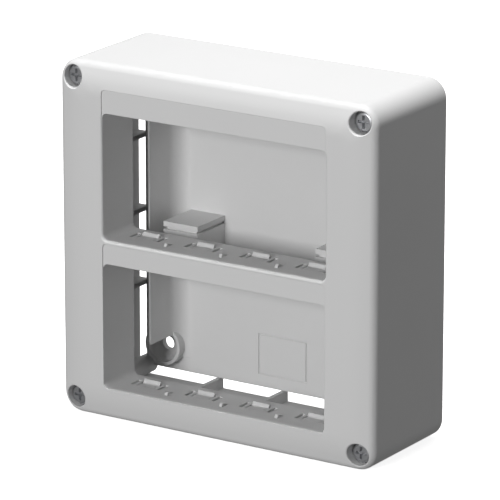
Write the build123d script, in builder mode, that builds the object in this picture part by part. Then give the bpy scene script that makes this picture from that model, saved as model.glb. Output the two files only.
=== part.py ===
"""Surface mount box for eight modular wiring devices, in two windows of four.

Millimetres. The origin is the middle of the back plane, X runs to the right,
Z up, and the front looks towards -Y. Heights are from the middle of the box.
"""

import os

from build123d import *

# Outer size of the moulded cover
box_width = 127.0
box_height = 127.0
box_depth = 47.0
corner_radius = 7.0
side_wall = 1.9
front_wall = 3.0

# The outer band of the front falls away in an easy curve, then turns into the sides
crown_drop = 2.4
crown_width = 11.5
crown_steps = 5
crown_inner_radius = 4.0
edge_radius = 3.0

# Shoulder that keeps the wall full behind the rounded edge
shoulder_width = 1.8
shoulder_depth = 2.2

# Device windows: four places of the common 22.5 x 45 module in each
module_width = 22.5
module_height = 45.0
modules_per_window = 4
window_width = module_width * modules_per_window
window_radius = 2.0
crossbar = 8.4
window_shift = -2.8
collar_depth = 19.0
collar_wall = 1.6
lip_radius = 0.9

# Shallow label strips above each window
label_depth = 0.45
top_label_height = 8.3
crossbar_label_height = 7.2

# Snap holes in the collars, one above and one below each module, with a slit on either side
snap_width = 7.4
snap_start = 9.0
snap_end = 14.4
slit_width = 1.3
slit_offset = 5.6

# Small stops between neighbouring modules
stop_width = 1.2
stop_rise = 1.1
stop_start = 5.0

# Corner screws
screw_inset = 6.0
well_diameter = 8.0
well_depth = 6.0
well_chamfer = 0.3
post_diameter = 11.0
screw_clearance = 4.4
shank_diameter = 3.6
pilot_diameter = 3.7
screw_length = 33.0
head_diameter = 7.2
head_height = 2.5

# Ribs of the cover that centre it on the tray and keep the cable gap open
cable_gap = 4.3
rib_pitch = 27.0
rib_thickness = 1.6
rib_length = 16.0

# Tray against the wall
tray_plate = 2.2
boss_radius = 3.4
boss_height = 19.0
fit_gap = 0.2

# Side rails of the tray, just inside the window edges
rail_inset = 1.1
rail_wall = 1.4
rail_tip = 1.0
rail_height = 19.5
rail_end_gap = 5.3
rail_fillet = 5.5

# Wells for the wall screws, which cut through the ends of the rails
fixing_inset = 9.3
fixing_well_radius = 7.3
fixing_bore_radius = 6.1
fixing_bowl_radius = 3.4
fixing_floor = 2.2
fixing_rim = 6.0
fixing_hole = 4.8

# Square posts behind the crossbar
post_inner_x = 24.0
post_width = 14.2
post_top = 2.7
post_drop = 16.2
post_wall = 2.0
post_slab = 1.8
post_groove = 1.0

# Cable knock-out marked in the tray
knockout_width = 20.0
knockout_height = 15.0
knockout_inset = 12.0
knockout_line = 0.5
knockout_depth = 0.3

# Values that follow from the ones above
half_width = box_width / 2
half_height = box_height / 2
inner_width = box_width - 2 * side_wall
inner_height = box_height - 2 * side_wall
tray_width = inner_width - 2 * cable_gap
tray_height = inner_height - 2 * cable_gap
rail_x = window_width / 2 - rail_inset
rail_length = tray_height - 2 * rail_end_gap
fixing_x = tray_width / 2 - fixing_inset
fixing_z = tray_height / 2 - fixing_inset
window_pitch = module_height + crossbar
window_centres = [window_shift + window_pitch / 2, window_shift - window_pitch / 2]
module_centres = [(i - (modules_per_window - 1) / 2) * module_width for i in range(modules_per_window)]
module_joins = [(i - modules_per_window / 2) * module_width for i in range(1, modules_per_window)]
screw_x = half_width - screw_inset
screw_z = half_height - screw_inset
corners = [(sx * screw_x, sz * screw_z) for sx in (-1, 1) for sz in (-1, 1)]
collar_back = collar_depth - box_depth
post_x = post_inner_x + post_width / 2


# Front cover: the outer body, hollowed from the back around four screw posts
with BuildPart() as front_cover:
    with BuildSketch(Plane.XZ):
        RectangleRounded(box_width, box_height, corner_radius)
    extrude(amount=box_depth - crown_drop)
    for step in range(crown_steps):
        part_way = step / (crown_steps - 1)
        inset = crown_width * part_way
        with BuildSketch(Plane.XZ.offset(box_depth - crown_drop * (1 - part_way) ** 2)):
            RectangleRounded(
                box_width - 2 * inset,
                box_height - 2 * inset,
                corner_radius + (crown_inner_radius - corner_radius) * part_way,
            )
    loft()
    rim = [
        e
        for e in front_cover.edges()
        if abs(e.center().Y - crown_drop + box_depth) < 0.01
        and max(abs(e.center().X) - half_width, abs(e.center().Z) - half_height) > -corner_radius / 2
    ]
    fillet(rim, edge_radius)

    # The hollow: clear to the wall behind the posts, around the posts in front of that
    with BuildSketch(Plane.XZ):
        RectangleRounded(inner_width, inner_height, corner_radius - side_wall)
    extrude(amount=boss_height, mode=Mode.SUBTRACT)
    for step_in, front in ((0.0, front_wall + shoulder_depth), (shoulder_width, front_wall)):
        with BuildSketch(Plane.XZ.offset(boss_height)):
            RectangleRounded(
                inner_width - 2 * step_in, inner_height - 2 * step_in, corner_radius - side_wall - step_in
            )
            with Locations(*corners):
                Circle(post_diameter / 2, mode=Mode.SUBTRACT)
        extrude(amount=box_depth - front - boss_height, mode=Mode.SUBTRACT)

    # A collar runs back from each window and guides the devices
    with BuildSketch(Plane.XZ.offset(-collar_back)):
        with Locations(*[(0, z) for z in window_centres]):
            RectangleRounded(
                window_width + 2 * collar_wall,
                module_height + 2 * collar_wall,
                window_radius + collar_wall,
            )
    extrude(amount=box_depth - front_wall + collar_back + 1.0)
    with BuildSketch(Plane.XZ.offset(-collar_back - 1.0)):
        with Locations(*[(0, z) for z in window_centres]):
            RectangleRounded(window_width, module_height, window_radius)
    extrude(amount=box_depth, mode=Mode.SUBTRACT)

    # Rounded lip along the bottom of each window
    lips = [
        e
        for e in front_cover.edges().filter_by(Axis.X)
        if abs(e.center().Y + box_depth) < 0.01
        and e.length > window_width / 2
        and any(abs(e.center().Z - z + module_height / 2) < 0.01 for z in window_centres)
    ]
    fillet(lips, lip_radius)

    # Label strips, drawn down into the window so that they share its width
    with BuildSketch(Plane.XZ.offset(box_depth)):
        for z, height in zip(window_centres, (top_label_height, crossbar_label_height)):
            with Locations((0, z + module_height / 2 + height / 2 - window_radius)):
                RectangleRounded(window_width, height + 2 * window_radius, 1.4)
    extrude(amount=-label_depth, mode=Mode.SUBTRACT)

    # Snap holes and their slits, through the walls above and below each module
    snap_length = snap_end - snap_start
    for offset, width in ((0.0, snap_width), (-slit_offset, slit_width), (slit_offset, slit_width)):
        places = [
            (x + offset, snap_start + snap_length / 2 - box_depth, z + side * (module_height + collar_wall) / 2)
            for x in module_centres
            for z in window_centres
            for side in (-1, 1)
        ]
        with Locations(*places):
            Box(width, snap_length, collar_wall + 0.6, mode=Mode.SUBTRACT)

    # Stops between the modules, on the same walls
    wedge = [(0.0, -0.4), (0.0, 0.0), (0.8, stop_rise), (4.0, 0.0), (4.0, -0.4)]
    for x in module_joins:
        with BuildSketch(Plane.YZ.offset(x - stop_width / 2)):
            for z in window_centres:
                for side in (-1, 1):
                    face = z + side * module_height / 2
                    with BuildLine():
                        Polyline(
                            *[(stop_start + run - box_depth, face - side * rise) for run, rise in wedge],
                            close=True,
                        )
                    make_face()
        extrude(amount=stop_width)

    # Screw wells in the corners of the front and the clearance holes behind them
    with BuildSketch(Plane.XZ.offset(box_depth - well_depth)):
        with Locations(*corners):
            Circle(well_diameter / 2)
    extrude(amount=well_depth + 1.0, mode=Mode.SUBTRACT)
    well_rims = [
        e
        for e in front_cover.edges()
        if e.center().Y < crown_drop + edge_radius - box_depth
        and any(
            all(abs(((v.X - x) ** 2 + (v.Z - z) ** 2) ** 0.5 - well_diameter / 2) < 0.01 for v in e.vertices())
            for x, z in corners
        )
    ]
    chamfer(well_rims, well_chamfer)
    with BuildSketch(Plane.XZ.offset(boss_height - 1.0)):
        with Locations(*corners):
            Circle(screw_clearance / 2)
    extrude(amount=box_depth - well_depth - boss_height + 1.5, mode=Mode.SUBTRACT)

    # Locating ribs around the back opening
    reach = cable_gap - fit_gap
    for step in (-1, 0, 1):
        along = step * rib_pitch
        for side in (-1, 1):
            with Locations((along, -rib_length / 2, side * (inner_height / 2 - reach / 2 + 0.4))):
                Box(rib_thickness, rib_length, reach + 0.8)
            with Locations((side * (inner_width / 2 - reach / 2 + 0.4), -rib_length / 2, along)):
                Box(reach + 0.8, rib_length, rib_thickness)
front_cover.part.label = "front_cover"


# Base tray: a flat plate on the wall with a round boss on each corner for the cover screws
with BuildPart() as base_tray:
    with BuildSketch(Plane.XZ):
        Rectangle(tray_width, tray_height)
    extrude(amount=tray_plate)
    with BuildSketch(Plane.XZ):
        with Locations(*corners):
            Circle(boss_radius)
    extrude(amount=boss_height)

    # Side rails, rounded into the plate on the inside and thinned at the outer tip
    for side in (-1, 1):
        with Locations((side * (rail_x + rail_wall / 2), -rail_height / 2, 0)):
            Box(rail_wall, rail_height, rail_length)
    roots = [
        e
        for e in base_tray.edges().filter_by(Axis.Z)
        if abs(abs(e.center().X) - rail_x) < 0.01 and abs(e.center().Y + tray_plate) < 0.01
    ]
    fillet(roots, rail_fillet)
    tips = [
        e
        for e in base_tray.edges().filter_by(Axis.Z)
        if abs(abs(e.center().X) - rail_x - rail_wall) < 0.01 and abs(e.center().Y + rail_height) < 0.01
    ]
    chamfer(tips, rail_tip)

    # Wells for the wall screws: a low round rim, and a bore that clears the rail in front of it
    wells = [(sx * fixing_x, sz * fixing_z) for sx in (-1, 1) for sz in (-1, 1)]
    with BuildSketch(Plane.XZ):
        with Locations(*wells):
            Circle(fixing_well_radius)
    extrude(amount=fixing_rim)
    with BuildSketch(Plane.XZ.offset(fixing_floor)):
        with Locations(*wells):
            Circle(fixing_bore_radius)
    extrude(amount=rail_height, mode=Mode.SUBTRACT)
    bowls = [
        e
        for e in base_tray.edges().filter_by(GeomType.CIRCLE)
        if abs(e.center().Y + fixing_floor) < 0.01 and abs(e.radius - fixing_bore_radius) < 0.01
    ]
    fillet(bowls, fixing_bowl_radius)
    with BuildSketch(Plane.XZ):
        with Locations(*wells):
            Circle(fixing_hole / 2)
    extrude(amount=fixing_floor + 1.0, mode=Mode.SUBTRACT)

    # Square posts behind the crossbar: grooved under the top slab, hollow from the back
    for side in (-1, 1):
        with Locations((side * post_x, -rail_height / 2, post_top - post_drop / 2)):
            Box(post_width, rail_height, post_drop)
    with BuildSketch(Plane.XY.offset(post_top - post_slab - post_groove)):
        for side in (-1, 1):
            with Locations((side * post_x, -(rail_height + tray_plate) / 2)):
                Rectangle(post_width, rail_height - tray_plate)
        for side in (-1, 1):
            with Locations((side * post_x, -(rail_height - post_groove) / 2)):
                Rectangle(post_width - 2 * post_groove, rail_height - post_groove, mode=Mode.SUBTRACT)
    extrude(amount=post_groove, mode=Mode.SUBTRACT)
    for side in (-1, 1):
        with Locations((side * post_x, -(rail_height - post_wall) / 2, post_top - post_drop / 2)):
            Box(
                post_width - 2 * (post_wall + post_groove),
                rail_height - post_wall,
                post_drop - 2 * (post_slab + post_groove + 0.6),
                mode=Mode.SUBTRACT,
            )

    # Line of the cable knock-out
    with BuildSketch(Plane.XZ.offset(tray_plate)):
        with Locations((0, knockout_inset - tray_height / 2)):
            Rectangle(knockout_width, knockout_height)
            Rectangle(
                knockout_width - 2 * knockout_line, knockout_height - 2 * knockout_line, mode=Mode.SUBTRACT
            )
    extrude(amount=-knockout_depth, mode=Mode.SUBTRACT)

    # Pilot holes for the cover screws
    with BuildSketch(Plane.XZ.offset(tray_plate)):
        with Locations(*corners):
            Circle(pilot_diameter / 2)
    extrude(amount=boss_height, mode=Mode.SUBTRACT)
base_tray.part.label = "base_tray"


def cover_screw(x, z):
    """One cover screw with a cross recess, its head seated on the floor of the well."""
    seat = box_depth - well_depth
    with BuildPart() as screw:
        with BuildSketch(Plane.XZ.offset(seat)):
            with Locations((x, z)):
                Circle(head_diameter / 2)
        extrude(amount=head_height)
        fillet(screw.faces().sort_by(Axis.Y)[0].edges(), 1.1)
        with BuildSketch(Plane.XZ.offset(seat)):
            with Locations((x, z)):
                Circle(shank_diameter / 2)
        extrude(amount=-screw_length)
        chamfer(screw.faces().sort_by(Axis.Y)[-1].edges(), 0.9)
        with BuildSketch(Plane.XZ.offset(seat + head_height)):
            with Locations((x, z)):
                Rectangle(4.4, 1.0)
                Rectangle(1.0, 4.4)
        extrude(amount=-1.6, mode=Mode.SUBTRACT)
    return screw


os.makedirs("parts", exist_ok=True)
export_step(front_cover.part, "parts/front_cover.step")
export_step(base_tray.part, "parts/base_tray.step")
screw_names = ["bottom_left", "top_left", "bottom_right", "top_right"]
for (x, z), name in zip(corners, screw_names):
    screw = cover_screw(x, z)
    screw.part.label = f"screw_{name}"
    export_step(screw.part, f"parts/screw_{name}.step")
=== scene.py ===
"""Looks of a square surface mount box with two device windows, in metres."""

from math import pi, radians

import bpy
from mathutils import Matrix, Vector


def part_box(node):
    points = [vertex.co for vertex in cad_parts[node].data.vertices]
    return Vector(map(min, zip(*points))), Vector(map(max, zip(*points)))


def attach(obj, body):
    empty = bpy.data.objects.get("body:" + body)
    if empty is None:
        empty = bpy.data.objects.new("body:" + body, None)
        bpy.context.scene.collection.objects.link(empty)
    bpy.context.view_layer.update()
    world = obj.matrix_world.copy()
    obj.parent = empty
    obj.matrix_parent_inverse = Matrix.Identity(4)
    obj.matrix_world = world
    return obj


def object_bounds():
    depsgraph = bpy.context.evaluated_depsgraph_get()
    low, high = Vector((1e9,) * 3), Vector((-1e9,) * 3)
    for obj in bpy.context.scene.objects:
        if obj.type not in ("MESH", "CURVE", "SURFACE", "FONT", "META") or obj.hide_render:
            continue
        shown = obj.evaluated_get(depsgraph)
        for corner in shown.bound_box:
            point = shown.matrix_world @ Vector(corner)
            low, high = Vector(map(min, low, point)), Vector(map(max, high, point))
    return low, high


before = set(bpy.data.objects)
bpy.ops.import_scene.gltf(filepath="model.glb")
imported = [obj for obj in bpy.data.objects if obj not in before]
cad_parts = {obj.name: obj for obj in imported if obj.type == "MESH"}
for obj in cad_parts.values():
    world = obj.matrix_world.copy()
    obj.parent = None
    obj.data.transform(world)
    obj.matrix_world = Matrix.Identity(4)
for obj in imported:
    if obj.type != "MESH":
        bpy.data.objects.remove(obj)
box_before = [list(corner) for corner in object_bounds()]


# The cover is one ABS moulding in light grey. Its tool was spark eroded, so the skin has a
# fine even grain that spreads highlights softly, and edges are rounded by a few tenths.
def linear(hex_colour):
    """Turns an sRGB hex colour into the linear colour a shader wants."""
    levels = [int(hex_colour[i : i + 2], 16) / 255 for i in (1, 3, 5)]
    return [v / 12.92 if v <= 0.04045 else ((v + 0.055) / 1.055) ** 2.4 for v in levels] + [1.0]


def add_node(tree, kind, settings, links):
    """Adds one node, sets its sockets or attributes, and links other nodes' outputs into it."""
    made = tree.nodes.new(kind)
    for name, value in settings.items():
        if name in made.inputs:
            made.inputs[name].default_value = value
        else:
            setattr(made, name, value)
    for name, source in links.items():
        tree.links.new(source, made.inputs[name])
    return made


COVER_SKIN = "#DEDEDE"
COVER_SHADE = "#D9D9D9"
COVER_ROUGHNESS = 0.54
ABS_IOR = 1.54
ABS_DRIFT_SCALE = 18.0  # tone and gloss drift over some 55 mm
ABS_DRIFT_DETAIL = 2.0
ABS_GLOSS_DRIFT = 0.04
ABS_GRAIN = 0.0004  # spacing of the eroded grain, drawn coarse enough to show
ABS_GRAIN_DETAIL = 3.0
ABS_GRAIN_DEPTH = 0.00004
ABS_GRAIN_STRENGTH = 0.12
MOULDED_EDGE = 0.0003  # rounding that every moulded edge keeps
MOULDED_EDGE_SAMPLES = 6


def moulded_abs(name, skin, shade, roughness):
    """Satin ABS: an even colour with a hardly visible drift, and the fine grain as bump."""
    material = bpy.data.materials.new(name)
    material.use_nodes = True
    tree = material.node_tree
    shader = tree.nodes["Principled BSDF"]
    shader.inputs["IOR"].default_value = ABS_IOR
    place = add_node(tree, "ShaderNodeTexCoord", {}, {})
    drift = add_node(
        tree,
        "ShaderNodeTexNoise",
        {"Scale": ABS_DRIFT_SCALE, "Detail": ABS_DRIFT_DETAIL},
        {"Vector": place.outputs["Object"]},
    )
    colours = add_node(
        tree, "ShaderNodeMix", {"data_type": "RGBA"}, {"Factor": drift.outputs["Fac"]}
    )
    colours.inputs["A"].default_value = linear(skin)
    colours.inputs["B"].default_value = linear(shade)
    grain = add_node(
        tree,
        "ShaderNodeTexNoise",
        {"Scale": 1 / ABS_GRAIN, "Detail": ABS_GRAIN_DETAIL},
        {"Vector": place.outputs["Object"]},
    )
    gloss = add_node(
        tree,
        "ShaderNodeMapRange",
        {"To Min": roughness - ABS_GLOSS_DRIFT, "To Max": roughness + ABS_GLOSS_DRIFT},
        {"Value": drift.outputs["Fac"]},
    )
    edge = add_node(
        tree, "ShaderNodeBevel", {"samples": MOULDED_EDGE_SAMPLES, "Radius": MOULDED_EDGE}, {}
    )
    bump = add_node(
        tree,
        "ShaderNodeBump",
        {"Strength": ABS_GRAIN_STRENGTH, "Distance": ABS_GRAIN_DEPTH},
        {"Height": grain.outputs["Fac"], "Normal": edge.outputs["Normal"]},
    )
    tree.links.new(colours.outputs["Result"], shader.inputs["Base Color"])
    tree.links.new(gloss.outputs["Result"], shader.inputs["Roughness"])
    tree.links.new(bump.outputs["Normal"], shader.inputs["Normal"])
    return material


def dress(node_name, material):
    """Gives a carried over piece its real finish on every one of its material slots."""
    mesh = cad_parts[node_name].data
    if not mesh.materials:
        mesh.materials.append(material)
    for i in range(len(mesh.materials)):
        mesh.materials[i] = material


cover_abs = moulded_abs("spark eroded light grey ABS", COVER_SKIN, COVER_SHADE, COVER_ROUGHNESS)
dress("front_cover", cover_abs)


# Every snap hole holds a springy tongue of the same ABS, moulded with the cover: a flat leaf
# with a steep nose at its end that a device rides over and is caught by. The sixteen are
# alike and are set out in rows, turned over along the top of a window.
def set_out(name, places, tree, values):
    """Runs a node tree on one point for each place and turn, and returns a plain mesh."""
    spots = bpy.data.meshes.new(name)
    spots.from_pydata([spot for spot, turn in places], [], [])
    turns = spots.attributes.new("turn", "FLOAT_VECTOR", "POINT")
    turns.data.foreach_set("vector", [angle for spot, turn in places for angle in turn])
    carrier = bpy.data.objects.new(name, spots)
    bpy.context.scene.collection.objects.link(carrier)
    setter = carrier.modifiers.new(name, "NODES")
    setter.node_group = tree
    for item in tree.interface.items_tree:
        if item.name in values:
            setter[item.identifier] = values[item.name]
    bpy.context.view_layer.update()
    evaluated = carrier.evaluated_get(bpy.context.evaluated_depsgraph_get())
    mesh = bpy.data.meshes.new_from_object(evaluated)
    carrier.modifiers.remove(setter)
    bpy.data.objects.remove(carrier)
    return mesh


TONGUE_WIDTH = 0.0068
TONGUE_SIDE = (  # depth behind the front edge of the snap hole, and height over the window edge
    (-0.00025, -0.00145),
    (-0.00025, -0.00005),
    (0.0014, -0.00006),
    (0.0028, -0.00016),
    (0.0034, -0.00024),
    (0.0037, -0.00016),
    (0.0040, 0.00012),
    (0.0043, 0.00056),
    (0.00455, 0.00092),
    (0.0047, 0.00107),
    (0.0049, 0.00112),
    (0.0051, 0.00104),
    (0.0051, -0.00145),
)
SNAP_HOLE_FRONT = -0.0380
MODULE_PLACES = (-0.03375, -0.01125, 0.01125, 0.03375)
WINDOW_EDGES = ((-0.0520, 0.0), (-0.0070, pi), (0.0014, 0.0), (0.0464, pi))  # height and turn

side_count = len(TONGUE_SIDE)
left_side = tuple(range(side_count))
right_side = tuple(range(2 * side_count - 1, side_count - 1, -1))
skin_between = [
    ((i + 1) % side_count, i, i + side_count, (i + 1) % side_count + side_count)
    for i in range(side_count)
]
tongue_mesh = bpy.data.meshes.new("snap tongue")
tongue_mesh.from_pydata(
    [
        (x, depth, height)
        for x in (-TONGUE_WIDTH / 2, TONGUE_WIDTH / 2)
        for depth, height in TONGUE_SIDE
    ],
    [],
    [left_side, right_side] + skin_between,
)
tongue = bpy.data.objects.new("snap tongue", tongue_mesh)
bpy.context.scene.collection.objects.link(tongue)

tongue_tree = bpy.data.node_groups.new("rows of snap tongues", "GeometryNodeTree")
tongue_sockets = tongue_tree.interface
tongue_sockets.new_socket("Places", in_out="INPUT", socket_type="NodeSocketGeometry")
tongue_sockets.new_socket("Tongue", in_out="INPUT", socket_type="NodeSocketObject")
tongue_sockets.new_socket("Tongues", in_out="OUTPUT", socket_type="NodeSocketGeometry")
tongue_in = add_node(tongue_tree, "NodeGroupInput", {}, {})
one_tongue = add_node(
    tongue_tree, "GeometryNodeObjectInfo", {}, {"Object": tongue_in.outputs["Tongue"]}
)
tongue_turn = add_node(
    tongue_tree,
    "GeometryNodeInputNamedAttribute",
    {"data_type": "FLOAT_VECTOR", "Name": "turn"},
    {},
)
tongue_rows = add_node(
    tongue_tree,
    "GeometryNodeInstanceOnPoints",
    {},
    {
        "Points": tongue_in.outputs["Places"],
        "Instance": one_tongue.outputs["Geometry"],
        "Rotation": tongue_turn.outputs["Attribute"],
    },
)
real_tongues = add_node(
    tongue_tree, "GeometryNodeRealizeInstances", {}, {"Geometry": tongue_rows.outputs["Instances"]}
)
skinned_tongues = add_node(
    tongue_tree,
    "GeometryNodeSetMaterial",
    {"Material": cover_abs},
    {"Geometry": real_tongues.outputs["Geometry"]},
)
add_node(tongue_tree, "NodeGroupOutput", {}, {"Tongues": skinned_tongues.outputs["Geometry"]})

tongue_places = [
    (Vector((x, SNAP_HOLE_FRONT, height)), (0.0, turn, 0.0))
    for height, turn in WINDOW_EDGES
    for x in MODULE_PLACES
]
tongue_rows_mesh = set_out("snap tongue places", tongue_places, tongue_tree, {"Tongue": tongue})
bpy.data.objects.remove(tongue)
tongues = bpy.data.objects.new("snap_tongues", tongue_rows_mesh)
bpy.context.scene.collection.objects.link(tongues)
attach(tongues, "root")

# The tray is moulded in the same ABS and screwed to the wall. Its skin has the same fine grain and
# is a little smoother than the cover's. Its two tones are set a shade lighter than the cover's as
# painted light, standing in for the light on the back plate seen through the windows.
TRAY_SKIN_PAINTED_LIGHTER = "#E0E0E0"
TRAY_SHADE_PAINTED_LIGHTER = "#DBDBDB"
TRAY_ROUGHNESS = 0.48

tray_abs = moulded_abs("plain moulded light grey ABS", TRAY_SKIN_PAINTED_LIGHTER, TRAY_SHADE_PAINTED_LIGHTER, TRAY_ROUGHNESS)
dress("base_tray", tray_abs)

# Four cross recess screws hold the cover: cold headed steel with bright zinc plating. The
# plating is thin, so the heads stay metallic, with a slightly cloudy tone and gloss.
ZINC = "#CDCED0"
ZINC_SHADE = "#B5B6B9"
ZINC_SMOOTHEST = 0.32
ZINC_ROUGHEST = 0.48
ZINC_CLOUD_SCALE = 900.0  # clouds about a millimetre wide
ZINC_CLOUD_DETAIL = 3.0
SCREW_NODES = ("screw_top_left", "screw_top_right", "screw_bottom_left", "screw_bottom_right")

zinc_steel = bpy.data.materials.new("bright zinc plated steel")
zinc_steel.use_nodes = True
zinc_tree = zinc_steel.node_tree
zinc_shader = zinc_tree.nodes["Principled BSDF"]
zinc_shader.inputs["Metallic"].default_value = 1.0
zinc_place = add_node(zinc_tree, "ShaderNodeTexCoord", {}, {})
zinc_cloud = add_node(
    zinc_tree,
    "ShaderNodeTexNoise",
    {"Scale": ZINC_CLOUD_SCALE, "Detail": ZINC_CLOUD_DETAIL},
    {"Vector": zinc_place.outputs["Object"]},
)
zinc_tones = add_node(
    zinc_tree, "ShaderNodeMix", {"data_type": "RGBA"}, {"Factor": zinc_cloud.outputs["Fac"]}
)
zinc_tones.inputs["A"].default_value = linear(ZINC)
zinc_tones.inputs["B"].default_value = linear(ZINC_SHADE)
zinc_gloss = add_node(
    zinc_tree,
    "ShaderNodeMapRange",
    {"To Min": ZINC_SMOOTHEST, "To Max": ZINC_ROUGHEST},
    {"Value": zinc_cloud.outputs["Fac"]},
)
zinc_tree.links.new(zinc_tones.outputs["Result"], zinc_shader.inputs["Base Color"])
zinc_tree.links.new(zinc_gloss.outputs["Result"], zinc_shader.inputs["Roughness"])
for screw_node in SCREW_NODES:
    dress(screw_node, zinc_steel)

# Each screw has a rolled thread of coarse pitch that cuts its own way into the tray. The
# thread is one ridge that winds around the plain shank, so it is drawn by its rule.
THREAD_PITCH = 0.0014
THREAD_LENGTH = 0.0280
THREAD_RISE = 0.0003
THREAD_STEPS = 20  # points along each turn
RIDGE_CORNERS = 4
SHANK_RADIUS = 0.0018
SHANK_TIP_GAP = 0.0014  # bare point beyond the last turn

thread_tree = bpy.data.node_groups.new("rolled screw thread", "GeometryNodeTree")
thread_sockets = thread_tree.interface
thread_sockets.new_socket("Places", in_out="INPUT", socket_type="NodeSocketGeometry")
for socket_name, socket_value in (
    ("Radius", SHANK_RADIUS),
    ("Length", THREAD_LENGTH),
    ("Turns", THREAD_LENGTH / THREAD_PITCH),
    ("Rise", THREAD_RISE),
):
    socket = thread_sockets.new_socket(
        socket_name, in_out="INPUT", socket_type="NodeSocketFloat"
    )
    socket.default_value = socket_value
thread_sockets.new_socket("Threads", in_out="OUTPUT", socket_type="NodeSocketGeometry")
thread_in = add_node(thread_tree, "NodeGroupInput", {}, {})
winding = add_node(
    thread_tree,
    "GeometryNodeCurveSpiral",
    {"Resolution": THREAD_STEPS},
    {
        "Rotations": thread_in.outputs["Turns"],
        "Start Radius": thread_in.outputs["Radius"],
        "End Radius": thread_in.outputs["Radius"],
        "Height": thread_in.outputs["Length"],
    },
)
ridge = add_node(
    thread_tree,
    "GeometryNodeCurvePrimitiveCircle",
    {"Resolution": RIDGE_CORNERS},
    {"Radius": thread_in.outputs["Rise"]},
)
swept = add_node(
    thread_tree,
    "GeometryNodeCurveToMesh",
    {"Fill Caps": True},
    {"Curve": winding.outputs["Curve"], "Profile Curve": ridge.outputs["Curve"]},
)
thread_turn = add_node(
    thread_tree,
    "GeometryNodeInputNamedAttribute",
    {"data_type": "FLOAT_VECTOR", "Name": "turn"},
    {},
)
placed = add_node(
    thread_tree,
    "GeometryNodeInstanceOnPoints",
    {},
    {
        "Points": thread_in.outputs["Places"],
        "Instance": swept.outputs["Mesh"],
        "Rotation": thread_turn.outputs["Attribute"],
    },
)
solid = add_node(
    thread_tree, "GeometryNodeRealizeInstances", {}, {"Geometry": placed.outputs["Instances"]}
)
plated = add_node(
    thread_tree,
    "GeometryNodeSetMaterial",
    {"Material": zinc_steel},
    {"Geometry": solid.outputs["Geometry"]},
)
add_node(thread_tree, "NodeGroupOutput", {}, {"Threads": plated.outputs["Geometry"]})

thread_places = []
for screw_node in SCREW_NODES:
    low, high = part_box(screw_node)
    shank_end = Vector(((low.x + high.x) / 2, high.y - SHANK_TIP_GAP, (low.z + high.z) / 2))
    thread_places.append((shank_end, (pi / 2, 0.0, 0.0)))
thread_mesh = set_out("screw places", thread_places, thread_tree, {})
threads = bpy.data.objects.new("screw_threads", thread_mesh)
bpy.context.scene.collection.objects.link(threads)
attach(threads, "root")

# The studio: a pale floor that the box stands on, a light straight overhead that leaves the
# window ledges in shade, a wider one high in front, a lit backdrop and a dim even room around.
FLOOR_REACH = 6.0  # from the middle to each side
FLOOR_TONE = "#F7F7F7"
FLOOR_ROUGHNESS = 0.9
FLOOR_GLOW = 0.84  # lifts the paper, so that its far edge hardly shows against the room
LIGHTS_LOOK_AT = Vector((0.0, 0.0, 0.0))
STUDIO_LIGHTS = (  # name, place, width and power in watts
    ("overhead softbox", Vector((0.0, -0.045, 1.3)), 0.10, 15.3),
    ("front softbox", Vector((-0.03, -1.56, 0.40)), 0.45, 14.4),
    ("lit backdrop", Vector((0.0, 1.2, 0.1)), 1.6, 8.0),
)
ROOM_TONE = "#FFFFFF"
ROOM_GLOW = 0.15  # what the room throws on the box
ROOM_SEEN = 1.0  # how bright the room is where it is seen behind the box

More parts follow.
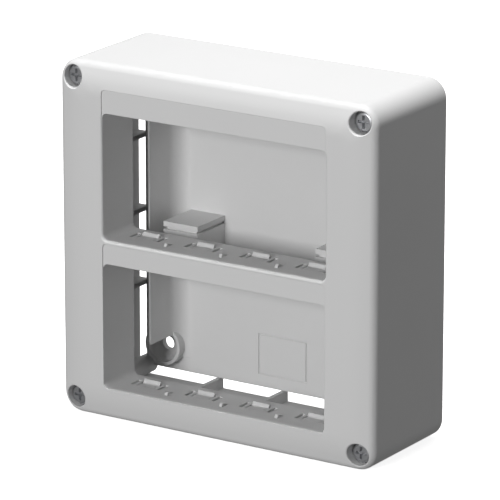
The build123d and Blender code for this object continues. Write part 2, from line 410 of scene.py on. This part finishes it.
floor_height = box_before[0][2]
floor_mesh = bpy.data.meshes.new("floor")
floor_mesh.from_pydata(
    [
        (x * FLOOR_REACH, y * FLOOR_REACH, floor_height)
        for x, y in ((-1, -1), (1, -1), (1, 1), (-1, 1))
    ],
    [],
    [(0, 1, 2, 3)],
)
floor = bpy.data.objects.new("floor", floor_mesh)
bpy.context.scene.collection.objects.link(floor)
floor_paper = bpy.data.materials.new("matt white paper")
floor_paper.use_nodes = True
paper_shader = floor_paper.node_tree.nodes["Principled BSDF"]
paper_shader.inputs["Base Color"].default_value = linear(FLOOR_TONE)
paper_shader.inputs["Roughness"].default_value = FLOOR_ROUGHNESS
paper_shader.inputs["Emission Color"].default_value = linear(FLOOR_TONE)
paper_shader.inputs["Emission Strength"].default_value = FLOOR_GLOW
floor_mesh.materials.append(floor_paper)
floor.visible_diffuse = False
floor.visible_glossy = False

for light_name, light_place, light_width, light_power in STUDIO_LIGHTS:
    lamp = bpy.data.lights.new(light_name, "AREA")
    lamp.size = light_width
    lamp.energy = light_power
    holder = bpy.data.objects.new(light_name, lamp)
    light_turn = (LIGHTS_LOOK_AT - light_place).to_track_quat("-Z", "Y").to_matrix().to_4x4()
    holder.matrix_world = Matrix.Translation(light_place) @ light_turn
    bpy.context.scene.collection.objects.link(holder)

room = bpy.data.worlds.new("studio")
bpy.context.scene.world = room
room.use_nodes = True
room_tree = room.node_tree
room_light = room_tree.nodes["Background"]
room_light.inputs["Color"].default_value = linear(ROOM_TONE)
seen = add_node(room_tree, "ShaderNodeLightPath", {}, {})
brightness = add_node(
    room_tree,
    "ShaderNodeMapRange",
    {"To Min": ROOM_GLOW, "To Max": ROOM_SEEN},
    {"Value": seen.outputs["Is Camera Ray"]},
)
room_tree.links.new(brightness.outputs["Result"], room_light.inputs["Strength"])
bpy.context.scene.view_settings.view_transform = "Standard"

# The camera stands right of the box and looks slightly down on it, at the photograph's angle.
# It is tilted and not shifted, so that the box stays in the frame from every other side.
CAMERA_PLACE = Vector((0.8144, -1.2821, 0.4467))
CAMERA_AZIMUTH = 32.90
CAMERA_TILT = 16.615
CAMERA_LENS = 329.1  # millimetres, as the sensor's width is
CAMERA_SENSOR = 36.0

camera_data = bpy.data.cameras.new("camera")
camera_data.lens = CAMERA_LENS
camera_data.sensor_width = CAMERA_SENSOR
camera = bpy.data.objects.new("camera", camera_data)
camera_swing = Matrix.Rotation(radians(CAMERA_AZIMUTH), 4, "Z")
camera_tip = Matrix.Rotation(radians(90 - CAMERA_TILT), 4, "X")
camera.matrix_world = Matrix.Translation(CAMERA_PLACE) @ (camera_swing @ camera_tip)
bpy.context.scene.collection.objects.link(camera)
bpy.context.scene.camera = camera
